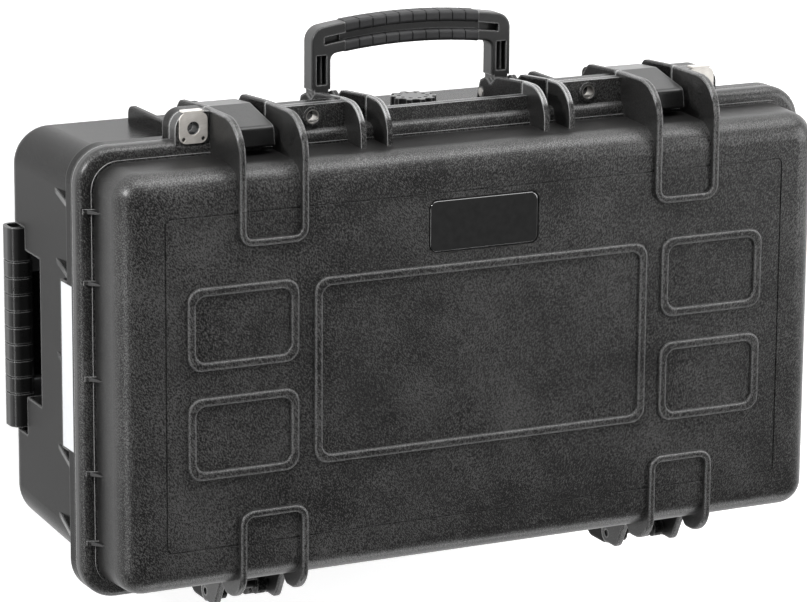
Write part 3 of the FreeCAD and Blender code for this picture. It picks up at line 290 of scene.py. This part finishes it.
# Feet: four moulded rubber pads pressed into the underside, which the case lies on.
# Dust greys the black rubber in small flecks.
foot_rubber = speckled_finish("foot_rubber", dark=(0.010, 0.010, 0.010), light=(0.030, 0.029, 0.028),
                              tones=(0.4, 0.8), scale=300.0, detail=4.0, fineness=0.6,
                              smoothest=0.65, unevenness=0.2, relief=0.00008, IOR=1.52,
                              Specular_IOR_Level=0.3)
foot_rubber.on("base_feet")

# Label: a blank white vinyl sticker on the end wall, where the case's owner can write.
# It lies in a shallow seat, level with the flange.
label = speckled_finish("label_vinyl", dark=(0.66, 0.67, 0.69), light=(0.69, 0.70, 0.72),
                        tones=(0.3, 0.7), scale=160.0, detail=3.0, fineness=0.5,
                        smoothest=0.3, unevenness=0.15, relief=0.00002, IOR=1.5, Specular_IOR_Level=0.4)
label.on("end_label")

# Valve: a moulded body screwed through the wall with a sealing ring and a nut, under a lobed knob.
# Opening the knob lets the air in when the case has been flown.
satin.on("valve_body", "valve_nut", "valve_knob")
seal = speckled_finish("seal_rubber", dark=(0.010, 0.010, 0.010), light=(0.024, 0.024, 0.024),
                       tones=(0.35, 0.7), scale=1300.0, detail=3.0, fineness=0.6,
                       smoothest=0.6, unevenness=0.2, relief=0.00006, IOR=1.5, Specular_IOR_Level=0.3)
seal.on("valve_seal")

# Carry handle: a glass-filled nylon frame that swings on two steel pins, with soft grips snapped
# into it above and below. A thin rib stiffens the channel in each leg.
handle_edge_reach = 0.0014
handle_nylon = Finish("handle_nylon", IOR=1.53, Specular_IOR_Level=0.5)
pebble = handle_nylon.place.noise(1000.0)
cast = handle_nylon.place.noise(30.0, detail=3.0)
handle_tone = (pebble * 0.6 + cast * 0.4).spread(0.35, 0.7)
handle_colour = handle_tone.mix((0.010, 0.010, 0.010), (0.024, 0.024, 0.024))
# Painted highlight: the outer edges of the handle frame are lightened towards grey
handle_edge_glint = handle_nylon.place.outer_edges(handle_edge_reach)
handle_nylon.feed("Base Color", handle_edge_glint.mix(handle_colour, (0.22, 0.22, 0.22)))
handle_nylon.feed("Roughness", 0.32 + pebble * 0.14)
handle_nylon.feed("Normal", pebble.bump(0.00004))
handle_nylon.on("carry_handle")


def moulded_on(name, form, rounding, finish, body):
    """Rounds that form's edges and makes it a piece, which moves with the body that it is moulded on."""
    bmesh.ops.bevel(form, geom=form.edges[:], offset=rounding, segments=2, profile=0.5, affect="EDGES")
    mesh = bpy.data.meshes.new(name)
    form.to_mesh(mesh)
    form.free()
    mesh.materials.append(finish.material)
    made = bpy.data.objects.new(name, mesh)
    bpy.context.scene.collection.objects.link(made)
    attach(made, body)


pin_low, pin_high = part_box("handle_pin_left")
pivot_y = (pin_low[1] + pin_high[1]) / 2
pivot_z = (pin_low[2] + pin_high[2]) / 2
leg_centre = 0.06925
channel_centre = 0.02625
rib_offset = 0.0010
rib_lift = 0.0011
rib_size = (0.0012, 0.0209, 0.0066)
rib_round = 0.0003
rib_form = bmesh.new()
for end in (-1, 1):
    rib_place = Vector((end * leg_centre - rib_offset, pivot_y - channel_centre, pivot_z + rib_lift))
    bmesh.ops.create_cube(rib_form, size=1.0,
                          matrix=Matrix.Translation(rib_place) @ Matrix.Diagonal((*rib_size, 1)))
moulded_on("handle_leg_ribs", rib_form, rib_round, handle_nylon, "handle")

grip = Finish("grip_rubber", IOR=1.5, Specular_IOR_Level=0.35)
skin = grip.place.noise(1600.0, detail=3.0, roughness=0.6)
rub = grip.place.noise(60.0, detail=3.0)
grip_tone = (skin * 0.5 + rub * 0.5).spread(0.35, 0.68)
grip.feed("Base Color", grip_tone.mix((0.018, 0.018, 0.019), (0.038, 0.038, 0.039)))
grip.feed("Roughness", 0.5 + skin * 0.2)
grip.feed("Normal", skin.bump(0.00006))
grip.on("handle_grip_upper", "handle_grip_lower")

# Lid: the shallow half, moulded like the base, with a rubber seal in its rim and small webs up its end walls.
# The raised frames stiffen the flat face, and the badge place holds a bare domed plate.
# The lid's light grey glint colour is a painted highlight along its outer edges.
lid = shell_finish("grained_lid", dark=(0.003, 0.0029, 0.0028), light=(0.082, 0.081, 0.080),
                   glint_colour=(0.46, 0.46, 0.46), smoothest=0.26, relief=0.00005, IOR=1.46)
lid.on("lid_shell")
seal.on("lid_seal")

seal_low, seal_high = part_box("lid_seal")
flange_thickness = 0.012
seal_overhang = 0.0035
case_middle = (seal_low[1] + seal_high[1]) / 2
flange_top = seal_low[2] + flange_thickness
wall_foot = seal_high[0] - seal_overhang
web_places = (-0.113, -0.065, 0.0, 0.065, 0.113)
web_foot_half = 0.0016
web_tip_half = 0.0006
web_root = wall_foot - 0.0015
web_tip = flange_top + 0.0115
web_round = 0.0005
web_outline = (
    (web_root, flange_top - 0.0005, web_foot_half),
    (wall_foot + 0.0052, flange_top + 0.0006, web_foot_half),
    (wall_foot - 0.0004, web_tip, web_tip_half),
    (web_root, web_tip, web_tip_half),
)
web_form = bmesh.new()
for end in (-1, 1):
    for place in web_places:
        near, far = [[web_form.verts.new((end * x, case_middle + place + way * half, z))
                      for x, z, half in web_outline] for way in (-1, 1)]
        web_form.faces.new(near)
        web_form.faces.new(far)
        for corner in range(len(web_outline)):
            after = (corner + 1) % len(web_outline)
            web_form.faces.new((near[corner], near[after], far[after], far[corner]))
bmesh.ops.recalc_face_normals(web_form, faces=web_form.faces)
# The webs' glint colour paints a faint highlight along their outer edges.
web = shell_finish("grained_web", dark=(0.003, 0.0029, 0.0028), light=(0.04, 0.039, 0.038),
                   glint_colour=(0.03, 0.03, 0.03), smoothest=0.26, relief=0.00005, IOR=1.46)
moulded_on("lid_webs", web_form, web_round, web, "lid")

gloss = Finish("badge_gloss", IOR=1.5, Coat_Weight=1.0, Coat_Roughness=0.03)
depth = gloss.place.noise(220.0)
gloss.feed("Base Color", depth.spread(0.3, 0.7).mix((0.006, 0.006, 0.006), (0.011, 0.011, 0.011)))
gloss.feed("Roughness", 0.08 + depth * 0.06)
gloss.on("badge_plate")

# Fittings on the two sides: satin nylon latches on steel pins, bent zinc-plated plates on the outer
# padlock lugs, steel bushes in the inner ones, and blackened pins driven through the hinges.
plated = Finish("zinc_plate", Metallic=0.3, IOR=1.9)
rolled = plated.place.drawn_out(0.3, (9.0, 1.0, 1.0)).noise(1500.0, detail=3.0, roughness=0.6)
bloom = plated.place.noise(120.0, detail=3.0)
plated_tone = (bloom * 0.6 + rolled * 0.4).spread(0.35, 0.65)
plated.feed("Base Color", plated_tone.mix((0.60, 0.565, 0.52), (0.80, 0.765, 0.72)))
plated.feed("Roughness", 0.28 + rolled * 0.2)
plated.feed("Normal", rolled.bump(0.00002))
blackened = speckled_finish("blackened_steel", dark=(0.006, 0.006, 0.006), light=(0.02, 0.02, 0.02),
                            tones=(0.35, 0.7), scale=900.0, detail=3.0, fineness=0.6,
                            smoothest=0.4, unevenness=0.2, relief=0.00002, Metallic=0.5, IOR=1.8)
for side in ("left", "right"):
    steel.on("latch_pin_" + side, "padlock_bush_" + side, "handle_pin_" + side)
    plated.on("padlock_plate_" + side)
    blackened.on("hinge_pin_" + side)
    satin.on("latch_lever_" + side)

# Studio: a white floor under a sky that is palest beyond the latches. A long soft lamp stands beyond the latch
# side, a small one off the corner by the pull handle, and weak ones beyond both ends and the hinges.
floor_radius = 7.0
floor_mesh = bpy.data.meshes.new("floor")
floor_form = bmesh.new()
bmesh.ops.create_circle(floor_form, cap_ends=True, segments=64, radius=floor_radius)
floor_form.to_mesh(floor_mesh)
floor_form.free()
floor = bpy.data.objects.new("floor", floor_mesh)
bpy.context.scene.collection.objects.link(floor)


def seen(tree):
    """1 for what the camera sees directly, in a mirror or through glass, and 0 for light that falls on things."""
    path = tree.nodes.new("ShaderNodeLightPath")
    camera_ray, glossy_ray, transmission_ray = [
        Wire(path.outputs[name]) for name in ("Is Camera Ray", "Is Glossy Ray", "Is Transmission Ray")]
    return camera_ray.either(glossy_ray.either(transmission_ray))


floor_white = (0.86, 0.86, 0.86, 1)
floor_glow = 0.64
floor_material = bpy.data.materials.new("floor_white")
floor_material.use_nodes = True
floor_tree = floor_material.node_tree
floor_shader = floor_tree.nodes["Principled BSDF"]
floor_shader.inputs["Base Color"].default_value = floor_white
floor_shader.inputs["Roughness"].default_value = 0.9
floor_shader.inputs["Specular IOR Level"].default_value = 0.0
floor_shader.inputs["Emission Color"].default_value = (1, 1, 1, 1)
floor_tree.links.new((seen(floor_tree) * floor_glow).socket, floor_shader.inputs["Emission Strength"])
floor_mesh.materials.append(floor_material)

sky = bpy.data.worlds.new("sky")
bpy.context.scene.world = sky
sky.use_nodes = True
sky_tree = sky.node_tree
bright_horizon = 1.5
dim_horizon = 0.1
zenith_level = 0.2
gradient_top = 0.7
bright_side = (-0.3, -0.95, 0.0)
bright_turn = (-0.5, 0.8)
direction = Wire(sky_tree.nodes.new("ShaderNodeTexCoord").outputs["Generated"])
climb = direction.along(2).spread(0, gradient_top)
towards = direction.node("ShaderNodeVectorMath", {"operation": "DOT_PRODUCT"},
                         {0: direction, 1: bright_side}, 1)
horizon = dim_horizon + towards.spread(*bright_turn) * (bright_horizon - dim_horizon)
sky_light = sky_tree.nodes["Background"]
sky_light.inputs["Color"].default_value = (1, 1, 1, 1)
sky_tree.links.new((horizon + climb * (zenith_level - horizon)).socket, sky_light.inputs["Strength"])


def lamp(name, place, width, height, watts, aim=(0.0, 0.0, 0.12)):
    """A soft rectangular lamp that looks at the place aimed for."""
    data = bpy.data.lights.new(name, "AREA")
    data.shape = "RECTANGLE"
    data.size = width
    data.size_y = height
    data.energy = watts
    made = bpy.data.objects.new(name, data)
    made.location = place
    made.rotation_mode = "QUATERNION"
    made.rotation_quaternion = (Vector(aim) - Vector(place)).to_track_quat("-Z", "Y")
    bpy.context.scene.collection.objects.link(made)


lamp("key", place=(-0.4, -2.0, 0.75), width=2.4, height=1.0, watts=40)
lamp("end", place=(1.93, 0.5, 0.8), width=0.9, height=0.3, watts=6, aim=(0.25, 0.0, 0.2))
lamp("corner", place=(1.75, -1.15, 0.64), width=0.24, height=0.24, watts=32)
lamp("low", place=(-0.5, 2.0, 0.5), width=2.4, height=0.4, watts=16)
lamp("far", place=(-1.2, -0.25, 0.95), width=0.8, height=0.8, watts=12)

# Camera: where the photographer stood, above the lid and towards the pull handle's end.
# The case lies on its base here, so the camera is rolled to stand it on its hinges.
image_width = 807
focal_pixels = 4041.06
sensor_width = 36.0
target = Vector((0.03189, -0.0050, 0.164))
back = Vector((0.4326, -0.2411, 0.8688)).normalized()
camera_distance = 2.769
camera_roll = math.radians(0.4)
farthest_seen = 50.0
right = Vector((0, 1, 0)).cross(back).normalized() * -1
up = back.cross(right)
turned_right = right * math.cos(camera_roll) + up * math.sin(camera_roll)
turned_up = up * math.cos(camera_roll) - right * math.sin(camera_roll)
camera_data = bpy.data.cameras.new("camera")
camera_data.sensor_width = sensor_width
camera_data.sensor_fit = "HORIZONTAL"
camera_data.lens = focal_pixels / image_width * sensor_width
camera_data.clip_end = farthest_seen
camera = bpy.data.objects.new("camera", camera_data)
axes = Matrix((turned_right, turned_up, back)).transposed().to_4x4()
camera.matrix_world = Matrix.Translation(target + back * camera_distance) @ axes
bpy.context.scene.collection.objects.link(camera)
bpy.context.scene.camera = camera
bpy.context.scene.view_settings.view_transform = "Standard"
